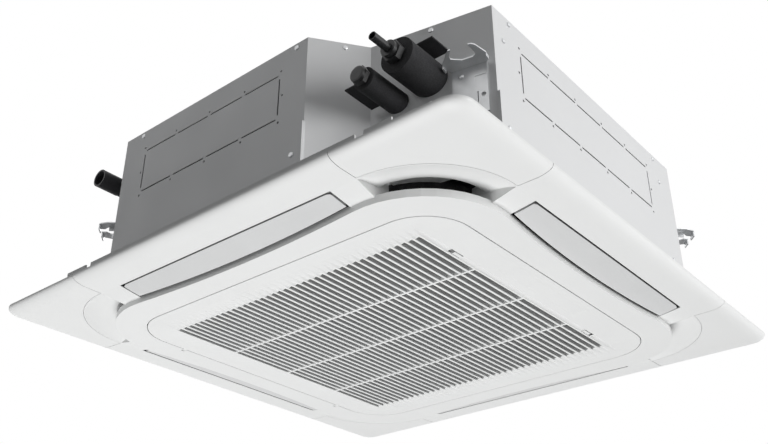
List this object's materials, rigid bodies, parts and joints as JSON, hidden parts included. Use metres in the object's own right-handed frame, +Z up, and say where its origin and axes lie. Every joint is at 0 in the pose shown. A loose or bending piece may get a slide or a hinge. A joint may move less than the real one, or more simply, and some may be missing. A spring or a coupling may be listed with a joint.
{
  "type": "ceiling cassette air conditioner",
  "caption": "Square ceiling cassette air conditioner: sheet metal casing with hanger forks over a white cover panel with air flaps round a louvred intake grille.",
  "frame": {"origin": "Centre of the cover panel, in the plane of the ceiling, on the panel's upper face", "axes": "+Z up, out of the room and into the ceiling; +X to the side nearest the pipes' corner; pipes at (+X, -Y), drain at (-X, -Y)"},
  "size_m": [0.95, 0.95, 0.3046],
  "materials": {
    "casing_steel": "pale zinc-coated sheet, matte, even",
    "zinc_steel": "bright zinc-plated steel, satin",
    "dark_foam": "dark grey expanded foam, matte, fine beads",
    "black_foam": "black closed-cell foam, matte",
    "black_plastic": "black moulded plastic, matte",
    "fan_plastic": "off-white moulded plastic, satin",
    "motor_paint": "dark painted metal, satin",
    "black_rubber": "black rubber, matte",
    "hose_rubber": "grey flexible hose, matte",
    "circuit_board": "green circuit board, satin",
    "fin_aluminium": "thin aluminium fins, satin",
    "copper_pipe": "copper tube, satin",
    "brass": "turned brass, satin",
    "dark_fittings": "dark coated pipe ends and nuts, satin",
    "panel_white": "white moulded plastic, satin, fine grain",
    "flap_grey": "pale grey moulded plastic, satin"
  },
  "bodies": {
    "unit": {"top_plate": "casing_steel", "front_plate": "casing_steel", "left_plate": "casing_steel", "back_plate": "casing_steel", "right_plate": "casing_steel", "pipe_corner_plate": "casing_steel", "casing_screws": "zinc_steel", "hanger_bracket_1": "zinc_steel", "hanger_bracket_2": "zinc_steel", "hanger_bracket_3": "zinc_steel", "hanger_bracket_4": "zinc_steel", "foam_lining": "dark_foam", "drain_pan": "dark_foam", "bell_mouth": "black_plastic", "control_box": "casing_steel", "control_box_cover": "casing_steel", "main_board": "circuit_board", "terminal_block": "fan_plastic", "fan_motor": "motor_paint", "motor_bushes": "black_rubber", "coil_fins": "fin_aluminium", "coil_tubes": "copper_pipe", "tube_plates": "zinc_steel", "distributor": "brass", "expansion_valve": "brass", "liquid_pipe": "dark_fittings", "gas_pipe": "dark_fittings", "liquid_sleeve": "black_foam", "gas_sleeve": "black_foam", "gas_flare_nut": "dark_fittings", "liquid_cap_nut": "dark_fittings", "drain_pump": "fan_plastic", "float_switch": "fan_plastic", "drain_socket": "black_plastic", "drain_hose": "hose_rubber", "panel_frame": "panel_white", "corner_cover_1": "panel_white", "corner_cover_2": "panel_white", "corner_cover_3": "panel_white", "corner_cover_4": "panel_white", "panel_gasket": "black_foam", "swing_motor_1": "zinc_steel", "swing_motor_2": "zinc_steel", "swing_motor_3": "zinc_steel", "swing_motor_4": "zinc_steel", "panel_screws": "zinc_steel"},
    "fan": {"motor_shaft": "zinc_steel", "turbo_fan": "fan_plastic", "fan_nut": "zinc_steel"},
    "grille": {"intake_grille": "panel_white", "air_filter": "black_plastic"},
    "latch_1": {"grille_latch_1": "panel_white"},
    "latch_2": {"grille_latch_2": "panel_white"},
    "air_flap_1": {"flap_1": "flap_grey"},
    "air_flap_2": {"flap_2": "flap_grey"},
    "air_flap_3": {"flap_3": "flap_grey"},
    "air_flap_4": {"flap_4": "flap_grey"},
    "pump_rotor": {"pump_impeller": "black_plastic"},
    "float": {"float_body": "black_plastic"}
  },
  "joints": [
    {"name": "flap_1_swing", "type": "hinge", "parent": "unit", "child": "air_flap_1", "pos_m": [0, 0.39375, -0.007], "axis": [-1, 0, 0], "range_deg": [0, 58]},
    {"name": "flap_2_swing", "type": "hinge", "parent": "unit", "child": "air_flap_2", "pos_m": [-0.39375, 0, -0.007], "axis": [0, -1, 0], "range_deg": [0, 58]},
    {"name": "flap_3_swing", "type": "hinge", "parent": "unit", "child": "air_flap_3", "pos_m": [0, -0.39375, -0.007], "axis": [1, 0, 0], "range_deg": [0, 58]},
    {"name": "flap_4_swing", "type": "hinge", "parent": "unit", "child": "air_flap_4", "pos_m": [0.39375, 0, -0.007], "axis": [0, 1, 0], "range_deg": [0, 58]},
    {"name": "grille_hinge", "type": "hinge", "parent": "unit", "child": "grille", "pos_m": [-0.33, 0, -0.025], "axis": [0, 1, 0], "range_deg": [0, 85]},
    {"name": "latch_1_slide", "type": "slide", "parent": "grille", "child": "latch_1", "axis": [0, 1, 0], "range_m": [0, 0.008]},
    {"name": "latch_2_slide", "type": "slide", "parent": "grille", "child": "latch_2", "axis": [0, -1, 0], "range_m": [0, 0.008]},
    {"name": "fan_spin", "type": "hinge", "parent": "unit", "child": "fan", "pos_m": [0, 0, 0.15], "axis": [0, 0, 1], "continuous": true},
    {"name": "pump_spin", "type": "hinge", "parent": "unit", "child": "pump_rotor", "pos_m": [-0.298, -0.298, 0.08], "axis": [0, 0, 1], "continuous": true},
    {"name": "float_rise", "type": "slide", "parent": "unit", "child": "float", "axis": [0, 0, 1], "range_m": [0, 0.009]}
  ]
}
